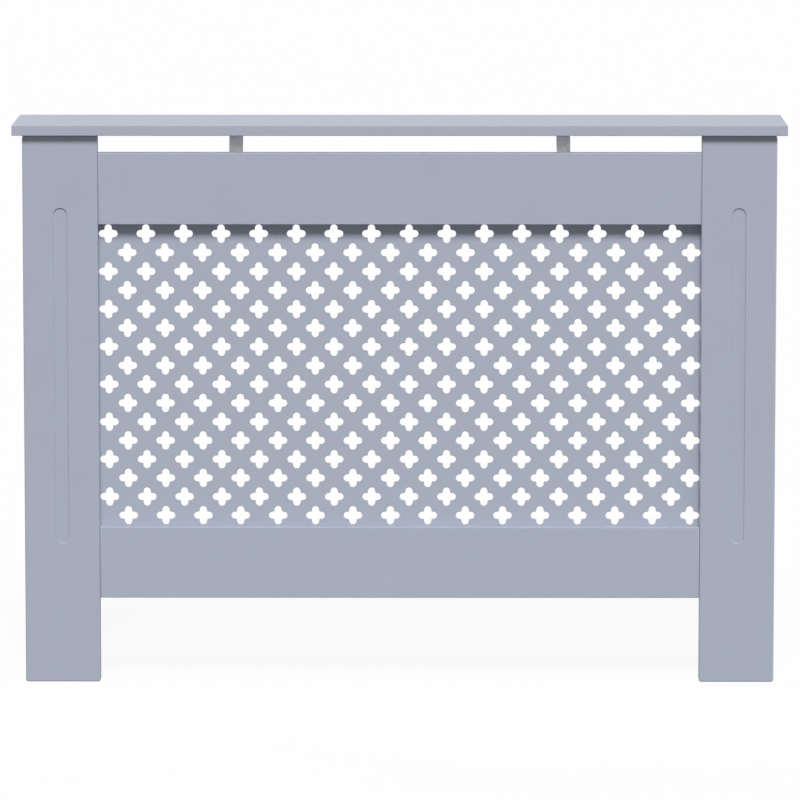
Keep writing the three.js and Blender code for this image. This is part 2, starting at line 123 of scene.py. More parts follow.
class Bench:
    """The bench on which pieces are made, with Blender's own modelling operators."""

    @staticmethod
    def clear() -> None:
        """Goes back to object mode and deselects everything."""
        if bpy.context.object and bpy.context.object.mode != "OBJECT":
            bpy.ops.object.mode_set(mode="OBJECT")
        bpy.ops.object.select_all(action="DESELECT")

    @staticmethod
    def take(obj: Obj) -> None:
        """Selects one object alone and makes it active.

        Args:
            obj: The object.
        """
        Bench.clear()
        obj.select_set(True)
        bpy.context.view_layer.objects.active = obj

    @staticmethod
    def named(name: str) -> Obj:
        """Names the active object and its mesh, and applies its place.

        Args:
            name: The piece's name.

        Returns:
            The object.
        """
        obj = bpy.context.object
        Bench.take(obj)
        obj.name = obj.data.name = name
        bpy.ops.object.transform_apply(location=True, rotation=True, scale=True)
        return obj

    @staticmethod
    def block(name: str, low: Sequence[float], high: Sequence[float]) -> Obj:
        """Adds a block between two corners, the start of a board or a cutter.

        Args:
            name: The piece's name.
            low: Its lowest corner.
            high: Its highest corner.

        Returns:
            The piece.
        """
        size = Vector(high) - Vector(low)
        middle = (Vector(high) + Vector(low)) / 2
        Bench.clear()
        bpy.ops.mesh.primitive_cube_add(size=1, location=middle, scale=size)
        return Bench.named(name)

    @staticmethod
    def plate(
        name: str, middle: Triple, size: tuple[float, float], turn: Triple = (0, 0, 0)
    ) -> Obj:
        """Adds a flat rectangle, the start of what is made from a sheet.

        Args:
            name: The piece's name.
            middle: The middle of the rectangle.
            size: Its two sides, in metres.
            turn: How it is turned about each axis, in radians.

        Returns:
            The piece.
        """
        Bench.clear()
        bpy.ops.mesh.primitive_plane_add(size=1, location=middle, rotation=turn)
        bpy.context.object.scale = (*size, 1)
        return Bench.named(name)

    @staticmethod
    def rod(name: str, radius: float, length: float, sides: int) -> Obj:
        """Adds an upright rod whose foot is at the origin.

        Args:
            name: The piece's name.
            radius: Its radius, in metres.
            length: Its length, in metres.
            sides: Faces round it.

        Returns:
            The piece.
        """
        Bench.clear()
        bpy.ops.mesh.primitive_cylinder_add(
            vertices=sides, radius=radius, depth=length, location=(0, 0, length / 2)
        )
        return Bench.named(name)

    @staticmethod
    @contextmanager
    def editing(obj: Obj, kind: str, chosen: Chooser) -> Iterator[None]:
        """Opens a mesh in edit mode with some of its elements selected, and closes it after.

        Args:
            obj: The piece.
            kind: VERT, EDGE or FACE.
            chosen: Tells whether an element is one of those wanted.

        Raises:
            ValueError: None of them is.
        """
        Bench.take(obj)
        bpy.ops.object.mode_set(mode="EDIT")
        bpy.ops.mesh.select_mode(type=kind)
        bpy.ops.mesh.select_all(action="DESELECT")
        mesh = bmesh.from_edit_mesh(obj.data)
        elements = {"VERT": mesh.verts, "EDGE": mesh.edges, "FACE": mesh.faces}[kind]
        wanted = [element for element in elements if chosen(element)]
        if not wanted:
            raise ValueError(f"{obj.name}: nothing was selected")
        for element in wanted:
            element.select = True
        mesh.select_flush_mode()
        bmesh.update_edit_mesh(obj.data)
        yield
        bpy.ops.object.mode_set(mode="OBJECT")

    @staticmethod
    def bevel(affect: str, radius: float, steps: int) -> None:
        """Rounds what is selected, EDGES or VERTICES."""
        bpy.ops.mesh.bevel(
            offset=radius, offset_type="OFFSET", segments=steps, profile=0.5, affect=affect
        )

    @staticmethod
    def round_edges(obj: Obj, chosen: Chooser, radius: float, steps: int) -> None:
        """Rounds the chosen edges.

        Args:
            obj: The piece.
            chosen: Tells whether an edge is one of those wanted.
            radius: The rounding, in metres.
            steps: Faces along the rounding.
        """
        with Bench.editing(obj, "EDGE", chosen):
            Bench.bevel("EDGES", radius, steps)

    @staticmethod
    def round_unevenly(obj: Obj, roundings: Sequence[tuple[Chooser, float]], steps: int) -> None:
        """Rounds edges that meet and have different radii.

        Args:
            obj: The piece.
            roundings: Which edges are rounded, and each one's radius in metres.
            steps: Faces along each rounding.
        """
        largest = max(radius for _, radius in roundings)
        for chosen, radius in roundings:
            with Bench.editing(obj, "EDGE", chosen):
                bpy.ops.transform.edge_bevelweight(value=radius / largest)
        settings = {"width": largest, "segments": steps, "limit_method": "WEIGHT"}
        Bench.finish_with(obj, "BEVEL", settings)

    @staticmethod
    def round_corners(obj: Obj, chosen: Chooser, radius: float, steps: int) -> None:
        """Rounds the chosen corners of a flat shape."""
        with Bench.editing(obj, "VERT", chosen):
            Bench.bevel("VERTICES", radius, steps)

    @staticmethod
    def extrude(obj: Obj, chosen: Chooser, by: Sequence[float]) -> None:
        """Extrudes the chosen edges and moves the new ones."""
        with Bench.editing(obj, "EDGE", chosen):
            bpy.ops.mesh.extrude_region_move(TRANSFORM_OT_translate={"value": tuple(by)})

    @staticmethod
    def merge(obj: Obj) -> None:
        """Merges vertices that lie in the same place."""
        with Bench.editing(obj, "VERT", everything):
            bpy.ops.mesh.remove_doubles(threshold=TOUCH / 4)

    @staticmethod
    def leave_outline(obj: Obj) -> None:
        """Takes away the faces of a flat shape and leaves its edges."""
        with Bench.editing(obj, "FACE", everything):
            bpy.ops.mesh.delete(type="ONLY_FACE")

    @staticmethod
    def finish_with(obj: Obj, kind: str, settings: dict[str, object]) -> None:
        """Adds a modifier and applies it.

        Args:
            obj: The piece.
            kind: The modifier's type.
            settings: The modifier's settings.
        """
        Bench.take(obj)
        modifier = obj.modifiers.new(kind.title(), kind)
        for key, value in settings.items():
            setattr(modifier, key, value)
        bpy.ops.object.modifier_apply(modifier=modifier.name)

    @staticmethod
    def cut(obj: Obj, cutter: Obj) -> None:
        """Takes a cutter's shape out of a piece, and puts the cutter away.

        Args:
            obj: The piece.
            cutter: The cutter.
        """
        settings = {"operation": "DIFFERENCE", "solver": "EXACT", "object": cutter}
        Bench.finish_with(obj, "BOOLEAN", settings)
        Bench.discard(cutter)

    @staticmethod
    def discard(obj: Obj) -> None:
        """Removes a helper and its mesh.

        Args:
            obj: The helper.
        """
        mesh = obj.data
        bpy.data.objects.remove(obj)
        bpy.data.meshes.remove(mesh)

    @staticmethod
    def join(pieces: Sequence[Obj]) -> None:
        """Joins meshes into the first one, which stays active.

        Args:
            pieces: The meshes.
        """
        Bench.take(pieces[0])
        for piece in pieces:
            piece.select_set(True)
        bpy.ops.object.join()

    @staticmethod
    def close(obj: Obj, smooth_below: float = 40) -> None:
        """Merges doubles, turns every face outwards and shades gentle edges smooth.

        Args:
            obj: The piece.
            smooth_below: Edges that turn less than this, in degrees, are shaded smooth.
        """
        with Bench.editing(obj, "VERT", everything):
            bpy.ops.mesh.remove_doubles(threshold=SAME_PLACE)
            bpy.ops.mesh.normals_make_consistent(inside=False)
        bpy.ops.object.shade_smooth_by_angle(angle=math.radians(smooth_below))

    @staticmethod
    def copy_to(pattern: Obj, name: str, where: Vector, turn: Matrix | None = None) -> Obj:
        """Copies a piece with its own mesh, turned about the origin and then moved.

        Args:
            pattern: The piece that was modelled, with its datum at the origin.
            name: The copy's name.
            where: Where the datum goes.
            turn: How the copy is turned.

        Returns:
            The copy, its place applied.
        """
        Bench.take(pattern)
        bpy.ops.object.duplicate(linked=False)
        obj = bpy.context.object
        obj.matrix_world = Matrix.Translation(where) @ (turn or Matrix.Identity(4))
        bpy.context.view_layer.update()
        return Bench.named(name)


def middle_of(node: str) -> Vector:
    """The middle of a solid's box."""
    return sum(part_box(node), Vector()) / 2


def facing(direction: Direction) -> Matrix:
    """The turn that brings +Z to a direction."""
    return direction.vector.to_track_quat("Z", "Y").to_matrix().to_4x4()


def everything(element: object) -> bool:
    """A chooser that takes every element."""
    return True


def on_plane(axis: int, value: float) -> Chooser:
    """A chooser for edges or faces whose vertices all lie on one plane."""
    return lambda element: all(abs(v.co[axis] - value) < TOUCH for v in element.verts)


def on_ends(axis: int, low: Sequence[float], high: Sequence[float]) -> Chooser:
    """A chooser for what lies on either end plane of a box along one axis."""
    return any_of(on_plane(axis, corner[axis]) for corner in (low, high))


def any_of(choosers: Iterable[Chooser]) -> Chooser:
    """A chooser for what any of several choosers takes."""
    kept = list(choosers)
    return lambda element: any(chosen(element) for chosen in kept)


def edge_between(first: Chooser, second: Chooser) -> Chooser:
    """A chooser for the edges that lie on two planes at once."""
    return lambda edge: first(edge) and second(edge)


# ---- Finishes ----


class Tree:
    """A node tree while it is being written."""

    def __init__(self, owner: bpy.types.Material | bpy.types.World) -> None:
        """Starts with the tree that Blender gives to a material or a world."""
        owner.use_nodes = True
        self.nodes, self.links = owner.node_tree.nodes, owner.node_tree.links

    def node(
        self, kind: str, inputs: dict[str | int, object] | None = None, **settings: object
    ) -> Node:
        """Adds a node.

        Args:
            kind: The node's type.
            inputs: What its inputs get, each a socket to be joined to or a constant.
            settings: Its other settings.

        Returns:
            The node.
        """
        node = self.nodes.new(kind)
        for key, value in settings.items():
            setattr(node, key, value)
        self.feed(node, inputs or {})
        return node

    def feed(self, node: Node, inputs: dict[str | int, object]) -> None:
        """Joins or sets a node's inputs.

        Args:
            node: The node.
            inputs: A socket or a constant for each input.
        """
        for key, value in inputs.items():
            if isinstance(value, Socket):
                self.links.new(value, node.inputs[key])
            else:
                node.inputs[key].default_value = value

    def mix(self, share: object, first: Node, second: Node) -> Node:
        """Mixes two shaders by the share of the second."""
        shaders = {1: first.outputs[0], 2: second.outputs[0]}
        return self.node("ShaderNodeMixShader", {"Fac": share, **shaders})

    def seen_rays(self) -> Socket:
        """1 for what the camera sees, directly, in gloss or through glass; 0 for lighting.

        Returns:
            The share.
        """
        paths = self.node("ShaderNodeLightPath")
        value = paths.outputs["Is Camera Ray"]
        for other in ("Is Glossy Ray", "Is Transmission Ray"):
            pair = {0: value, 1: paths.outputs[other]}
            value = self.node("ShaderNodeMath", pair, operation="MAXIMUM").outputs["Value"]
        return value


class Recipe(Tree):
    """A material's node tree, with a principled shader."""

    def __init__(self, name: str) -> None:
        """Starts a material that holds the shader alone.

        Args:
            name: The material's name.
        """
        self.material = bpy.data.materials.new(name)
        super().__init__(self.material)
        self.shader = self.nodes["Principled BSDF"]
        self.place = self.node("ShaderNodeTexCoord").outputs["Object"]

    def stretched(self, scale: Triple) -> Socket:
        """The place on the piece, stretched along its axes."""
        inputs = {"Vector": self.place, "Scale": scale}
        return self.node("ShaderNodeMapping", inputs).outputs["Vector"]

    def noise(
        self, scale: float, detail: float, place: Socket | None = None, roughness: float = 0.5
    ) -> Socket:
        """Noise on the piece.

        Args:
            scale: Features to the metre.
            detail: Layers of finer noise.
            place: Where the noise is read, if it is stretched.
            roughness: Weight of the finer layers.

        Returns:
            The noise, from 0 to 1.
        """
        where = {"Vector": place or self.place, "Scale": scale}
        layers = {"Detail": detail, "Roughness": roughness}
        return self.node("ShaderNodeTexNoise", {**where, **layers}).outputs["Fac"]

    def spread(self, value: Socket, low: float, high: float) -> Socket:
        """Brings noise, which keeps near its middle, to a range.

        Args:
            value: The noise.
            low: The range's start.
            high: The range's end.

        Returns:
            The noise in that range.
        """
        before = {"Value": value, "From Min": NOISE_REACH[0], "From Max": NOISE_REACH[1]}
        after = {"To Min": low, "To Max": high}
        return self.node("ShaderNodeMapRange", {**before, **after}).outputs["Result"]

    def tint(self, noise: Socket, colour: Sequence[float], tones: Sequence[float]) -> Socket:
        """A colour that noise makes darker and lighter.

        Args:
            noise: The noise.
            colour: The colour.
            tones: Its factors where the noise is lowest and highest.

        Returns:
            The uneven colour.
        """
        share = self.spread(noise, 0, 1)
        node = self.node("ShaderNodeMix", {"Factor": share}, data_type="RGBA")
        sockets = [s for s in node.inputs if s.type == "RGBA"]
        for socket, tone in zip(sockets, tones):
            socket.default_value = (*(min(1.0, part * tone) for part in colour), 1)
        return next(s for s in node.outputs if s.type == "RGBA")

    def relief(self, height: Socket, depth: float, over: Socket | None = None) -> Socket:
        """Relief of the surface.

        Args:
            height: The height, from 0 to 1.
            depth: What a height of 1 stands for, in metres.
            over: The coarser relief that this one lies on.

        Returns:
            The normal.
        """
        node = self.node("ShaderNodeBump", {"Distance": depth, "Height": height})
        if over:
            self.feed(node, {"Normal": over})
        return node.outputs["Normal"]

    def wear(self, colour: Socket, roughness: Socket, normal: Socket) -> None:
        """Joins colour, roughness and normal to the shader."""
        inputs = {"Base Color": colour, "Roughness": roughness, "Normal": normal}
        self.feed(self.shader, inputs)


@dataclass(frozen=True)
class SatinLacquer:
    """Sprayed blue-grey lacquer on smooth board: a faint orange peel and an uneven sheen."""

    colour: Triple = (0.376, 0.408, 0.488)
    tones: tuple[float, float] = (0.991, 1.009)
    roughness: tuple[float, float] = (0.46, 0.54)
    gloss: float = 0.22
    cloud_scale: float = 14
    sheen_scale: float = 55
    swell_scale: float = 90
    swell_depth: float = 0.04 * MM
    peel_scale: float = 900
    peel_depth: float = 0.012 * MM

    def material(self) -> bpy.types.Material:
        """Makes the lacquer.

        Returns:
            The material.
        """
        recipe = Recipe("satin_lacquer")
        colour = recipe.tint(recipe.noise(self.cloud_scale, 3), self.colour, self.tones)
        sheen = recipe.spread(recipe.noise(self.sheen_scale, 3), *self.roughness)
        swell = recipe.relief(recipe.noise(self.swell_scale, 2), self.swell_depth)
        peel = recipe.relief(recipe.noise(self.peel_scale, 2), self.peel_depth, swell)
        recipe.wear(colour, sheen, peel)
        recipe.shader.inputs["Specular IOR Level"].default_value = self.gloss
        return recipe.material


@dataclass(frozen=True)
class ZincPlate:
    """Bright zinc plating on rolled steel, with streaks along the strip and a faint bloom."""

    streaks: Triple
    colour: Triple = (0.60, 0.60, 0.615)
    roughness: tuple[float, float] = (0.24, 0.42)
    name: str = "zinc_plate"
    tones: tuple[float, float] = (0.9, 1.06)
    bloom_scale: float = 160
    grain_depth: float = 0.004 * MM
    pit_scale: float = 2500
    pit_depth: float = 0.003 * MM

    def material(self) -> bpy.types.Material:
        """Makes the plating.

        Returns:
            The material.
        """
        recipe = Recipe(self.name)
        streak = recipe.noise(1.0, 4, recipe.stretched(self.streaks), 0.6)
        colour = recipe.tint(recipe.noise(self.bloom_scale, 3), self.colour, self.tones)
        sheen = recipe.spread(streak, *self.roughness)
        grain = recipe.relief(streak, self.grain_depth)
        pits = recipe.relief(recipe.noise(self.pit_scale, 2), self.pit_depth, grain)
        recipe.wear(colour, sheen, pits)
        recipe.shader.inputs["Metallic"].default_value = 1.0
        return recipe.material


@dataclass(frozen=True)
class BareBeech:
    """Turned beech, with its short dark flecks drawn out along the grain."""

    grain: Triple
    colour: Triple = (0.58, 0.37, 0.18)
    name: str = "bare_beech"
    tones: tuple[float, float] = (0.72, 1.12)
    roughness: tuple[float, float] = (0.72, 0.6)
    fibre_depth: float = 0.04 * MM

    def material(self) -> bpy.types.Material:
        """Makes the wood.

        Returns:
            The material.
        """
        recipe = Recipe(self.name)
        fibre = recipe.noise(1.0, 5, recipe.stretched(self.grain), 0.65)
        colour = recipe.tint(fibre, self.colour, self.tones)
        sheen = recipe.spread(fibre, *self.roughness)
        recipe.wear(colour, sheen, recipe.relief(fibre, self.fibre_depth))
        return recipe.material


class Finish(Enum):
    """The finishes that the pieces take, each with its slot."""

    LACQUER = (SatinLacquer(), Slot.GREY_PAINT)
    # Painted light: the strips' zinc is lightened nearly to white, a lit copy of the plating that
    # makes up for the shade they stand in under the shelf.
    ZINC_STRIP = (
        ZincPlate((1600, 60, 60), (0.98, 0.965, 0.935), (0.74, 0.86), "dull_zinc"),
        Slot.ZINCED_STEEL,
    )
    ZINC_ANGLE = (ZincPlate((60, 1600, 60), name="zinc_angle"), Slot.ZINCED_STEEL)
    ZINC_SCREW = (ZincPlate((500, 500, 500), name="zinc_screw"), Slot.ZINCED_STEEL)
    BEECH_ACROSS = (BareBeech((50, 900, 900)), Slot.BEECH)
    BEECH_BACK = (BareBeech((900, 50, 900), name="bare_beech_back"), Slot.BEECH)

    @property
    def slot(self) -> Slot:
        """The record's slot for this finish."""
        return self.value[1]

    @cache
    def material(self) -> bpy.types.Material:
        """The finish's material, made once."""
        return self.value[0].material()


# ---- Sub-assemblies ----


@dataclass
class Piece:
    """A finished mesh, its finish and the solids that it stands for."""

    obj: Obj
    finish: Finish
    stands_for: tuple[str, ...] = ()


@dataclass
class SubAssembly(ABC):
    """Pieces that are made together."""

    pieces: list[Piece] = field(default_factory=list, init=False)

    @abstractmethod
    def build(self) -> None:
        """Makes the meshes."""

    def keep(self, obj: Obj, finish: Finish, *stands_for: str) -> None:
        """Keeps a finished mesh as a piece, its flat faces shaded flat up to their easings.

        Args:
            obj: The mesh.
            finish: The finish that it takes.
            stands_for: The solids that it replaces.
        """
        Bench.finish_with(obj, "WEIGHTED_NORMAL", {"keep_sharp": True})
        self.pieces.append(Piece(obj, finish, stands_for))

    def dress(self) -> None:
        """Gives each piece its finish and fastens it to the frame."""
        for piece in self.pieces:
            piece.obj.data.materials.clear()
            piece.obj.data.materials.append(piece.finish.material())
            if piece.stands_for:
                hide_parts(*piece.stands_for)
            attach(piece.obj, "root")
            log.info("%s: %d faces", piece.obj.name, len(piece.obj.data.polygons))


@dataclass
class TopShelf(SubAssembly):
    """The shelf: one board, rounded along its front and its ends."""

    rounding: float = 1.0 * MM
    back_easing: float = 0.4 * MM
    steps: int = 4

    def build(self) -> None:
        """Makes the board."""
        low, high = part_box("top_shelf")
        board = Bench.block("shelf", low, high)
        front, back = on_plane(1, low.y), on_plane(1, high.y)
        ends, levels = on_ends(0, low, high), on_ends(2, low, high)
        outside = any_of([front, ends])
        rounded = any_of([edge_between(levels, outside), edge_between(front, ends)])
        Bench.round_edges(board, rounded, self.rounding, self.steps)
        Bench.round_edges(board, edge_between(levels, back), self.back_easing, EASING_STEPS)
        Bench.close(board)
        self.keep(board, Finish.LACQUER, "top_shelf")


@dataclass
class FrontBoards(SubAssembly):
    """The flat boards of the front: two legs, each with its routed groove, and two rails."""

    rounding: float = 2.0 * MM
    back_easing: float = 0.4 * MM
    steps: int = 5
    corner: float = 4.0 * MM
    rail_edge: float = 1.0 * MM
    rail_end: float = 2.4 * MM
    groove_width: float = 20 * MM
    groove_depth: float = 1.8 * MM
    groove_overrun: float = 24 * MM
    groove_lip: float = 0.25 * MM
    lip_steps: int = 3
    cove_radius: float = 0.9 * MM
    cove_steps: int = 5
    end_steps: int = 24
    rim_turn: float = 30  # degrees; an edge of the rim turns more than this

    def build(self) -> None:
        """Makes the boards."""
        for side in Side:
            self.leg(side)
        for rail in ("upper_rail", "lower_rail"):
            self.rail(rail)

    def cutter(self, middle: float, face: float, low: float, high: float) -> Obj:
        """The cutter of a groove: round at both ends, with a cove between its floor and its side.

        Args:
            middle: The groove's place across.
            face: The front of the board.
            low: The groove's lower end.
            high: The groove's upper end.

        Returns:
            The cutter.
        """
        half = self.groove_width / 2
        left, right = middle - half, middle + half
        level = face + self.groove_depth - self.cove_radius
        first, last = (left, face - half, low), (right, level, high)
        cutter = Bench.block("cutter", first, last)
        upright = edge_between(on_ends(0, first, last), on_ends(2, first, last))
        Bench.round_edges(cutter, upright, half, self.end_steps)
        Bench.merge(cutter)
        for step in range(self.cove_steps):
            steep = math.pi / 2 * (1 - step / self.cove_steps)
            gentle = math.pi / 2 * (1 - (step + 1) / self.cove_steps)
            inset = self.cove_radius * (math.sin(steep) - math.sin(gentle))
            sink = self.cove_radius * (math.cos(gentle) - math.cos(steep))
            with Bench.editing(cutter, "FACE", on_plane(1, level)):
                bpy.ops.mesh.inset(thickness=inset, depth=sink)
            level += sink
        return cutter

    def leg(self, side: Side) -> None:
        """Makes one leg board.

        Args:
            side: Which leg it is.
        """
        node = f"{side.label}_leg_board"
        low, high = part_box(node)
        board = Bench.block(f"{side.label}_leg", low, high)
        face, back = on_plane(1, low.y), on_plane(1, high.y)
        outline_corners = edge_between(on_ends(0, low, high), on_ends(2, low, high))
        Bench.round_edges(board, outline_corners, self.corner, self.steps)
        Bench.round_edges(board, face, self.rounding, self.steps)
        inner = on_plane(0, low.x if side is Side.RIGHT else high.x)
        Bench.round_edges(board, edge_between(back, inner), self.back_easing, EASING_STEPS)
        self.rout(board, (low.x + high.x) / 2, low.y)
        Bench.close(board, 25)
        self.keep(board, Finish.LACQUER, node)

    def rout(self, board: Obj, middle: float, level: float) -> None:
        """Routs a leg's groove and breaks its rim.

        Args:
            board: The leg board.
            middle: The groove's place across.
            level: The front of the board.
        """
        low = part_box("lower_rail")[1].z - self.groove_overrun
        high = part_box("upper_rail")[0].z + self.groove_overrun
        Bench.cut(board, self.cutter(middle, level, low, high))
        face = on_plane(1, level)

        def rim(edge: bmesh.types.BMEdge) -> bool:
            """Tells whether an edge lies along the rim of the groove."""
            inside = all(abs(v.co.x - middle) < self.groove_width for v in edge.verts)
            return inside and face(edge) and edge.calc_face_angle(0) > math.radians(self.rim_turn)

        Bench.round_edges(board, rim, self.groove_lip, self.lip_steps)

    def rail(self, node: str) -> None:
        """Makes one rail.

        Args:
            node: The rail's solid.
        """
        low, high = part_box(node)
        board = Bench.block(f"{node}_board", low, high)
        face, back = on_plane(1, low.y), on_plane(1, high.y)
        ends, levels = on_ends(0, low, high), on_ends(2, low, high)
        roundings = [
            (edge_between(face, ends), self.rail_end),
            (edge_between(face, levels), self.rail_edge),
            (edge_between(back, levels), self.back_easing),
        ]
        Bench.round_unevenly(board, roundings, self.steps)
        Bench.close(board)
        self.keep(board, Finish.LACQUER, node)


@dataclass
class SidePanels(SubAssembly):
    """The boards that run from the legs back to the wall."""

    easing: float = 1.0 * MM
    steps: int = 4
    seam_easing: float = 0.4 * MM

    def build(self) -> None:
        """Makes both panels."""
        for side in Side:
            node = f"{side.label}_side_panel"
            low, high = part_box(node)
            panel = Bench.block(f"{side.label}_side", low, high)
            faces = on_ends(0, low, high)
            outside = any_of([on_plane(1, high.y), on_plane(2, low.z)])
            seam = on_plane(1, low.y)
            Bench.round_edges(panel, edge_between(faces, outside), self.easing, self.steps)
            Bench.round_edges(panel, edge_between(faces, seam), self.seam_easing, EASING_STEPS)
            Bench.close(panel)
            self.keep(panel, Finish.LACQUER, node)


@dataclass
class GrilleSheet(SubAssembly):
    """The thin sheet in the opening, pierced with rows of crosses with round-ended lobes."""

    rows: int = 16
    per_row: int = 16
    slot_length: float = 27.3 * MM
    slot_width: float = 10.6 * MM
    lobe_steps: int = 4
    notch_radius: float = 1.9 * MM
    notch_steps: int = 3
    row_margin: float = 15 * MM
    column_margin: float = 14 * MM
    easing: float = 0.3 * MM

    def cross(self) -> Obj:
        """Draws one hole flat: a square whose sides are drawn out, with its corners rounded.

        Returns:
            The hole's outline.
        """
        half, reach = self.slot_width / 2, self.slot_length / 2

        def in_square(vertex: bmesh.types.BMVert) -> bool:
            """Tells whether a vertex is a corner of the square."""
            return max(abs(vertex.co.x), abs(vertex.co.y)) < half + TOUCH

        def on_end(vertex: bmesh.types.BMVert) -> bool:
            """Tells whether a vertex is at the end of a lobe."""
            return max(abs(vertex.co.x), abs(vertex.co.y)) > reach - TOUCH

        Bench.clear()
        bpy.ops.mesh.primitive_plane_add(size=self.slot_width)
        hole = Bench.named("hole")
        for axis, sign in ((0, 1), (0, -1), (1, 1), (1, -1)):
            by = [0.0, 0.0, 0.0]
            by[axis] = sign * (reach - half)
            side = edge_between(on_plane(axis, sign * half), lambda e: all(map(in_square, e.verts)))
            Bench.extrude(hole, side, by)
        with Bench.editing(hole, "FACE", everything):
            bpy.ops.mesh.dissolve_faces()
        Bench.round_corners(hole, on_end, half, self.lobe_steps)
        Bench.round_corners(hole, in_square, self.notch_radius, self.notch_steps)
        Bench.merge(hole)
        Bench.leave_outline(hole)
        return hole

    def build(self) -> None:
        """Makes the sheet: holes and rim become one flat curve, which gets its thickness."""
        low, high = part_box("grille_sheet")
        left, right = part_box("left_leg_board")[1].x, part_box("right_leg_board")[0].x
        bottom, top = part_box("lower_rail")[1].z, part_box("upper_rail")[0].z
        half_pitch = (right - left - 2 * self.column_margin) / (2 * self.per_row - 1)
        row_pitch = (top - bottom - 2 * self.row_margin) / (self.rows - 1)
        holes = self.cross()
        steps = {(2 * half_pitch, 0, 0): self.per_row, (0, -2 * row_pitch, 0): self.rows // 2}
        for offset, count in steps.items():
            settings = {
                "count": count,
                "use_relative_offset": False,
                "use_constant_offset": True,
                "constant_offset_displace": offset,
            }
            Bench.finish_with(holes, "ARRAY", settings)
        start = Vector((left + self.column_margin, top - self.row_margin, 0))
        even = Bench.copy_to(holes, "even_rows", start)
        odd = Bench.copy_to(holes, "odd_rows", start + Vector((half_pitch, -row_pitch, 0)))
        Bench.discard(holes)
        middle = ((low.x + high.x) / 2, (low.z + high.z) / 2, 0)
        rim = Bench.plate("grille", middle, (high.x - low.x, high.z - low.z))
        Bench.leave_outline(rim)
        Bench.join([rim, even, odd])
        bpy.ops.object.convert(target="CURVE")
        sheet = bpy.context.object
        sheet.data.dimensions = "2D"
        sheet.data.fill_mode = "BOTH"
        sheet.data.extrude = (high.y - low.y) / 2 - self.easing
        sheet.data.bevel_depth = self.easing
        sheet.data.bevel_resolution = 0
        sheet.data.offset = -self.easing
        Bench.take(sheet)
        bpy.ops.object.convert(target="MESH")
        sheet = bpy.context.object
        sheet.rotation_euler = (math.pi / 2, 0, 0)
        sheet.location = (0, (low.y + high.y) / 2, 0)
        Bench.named("grille")
        Bench.close(sheet, 30)
        self.keep(sheet, Finish.LACQUER, "grille_sheet")


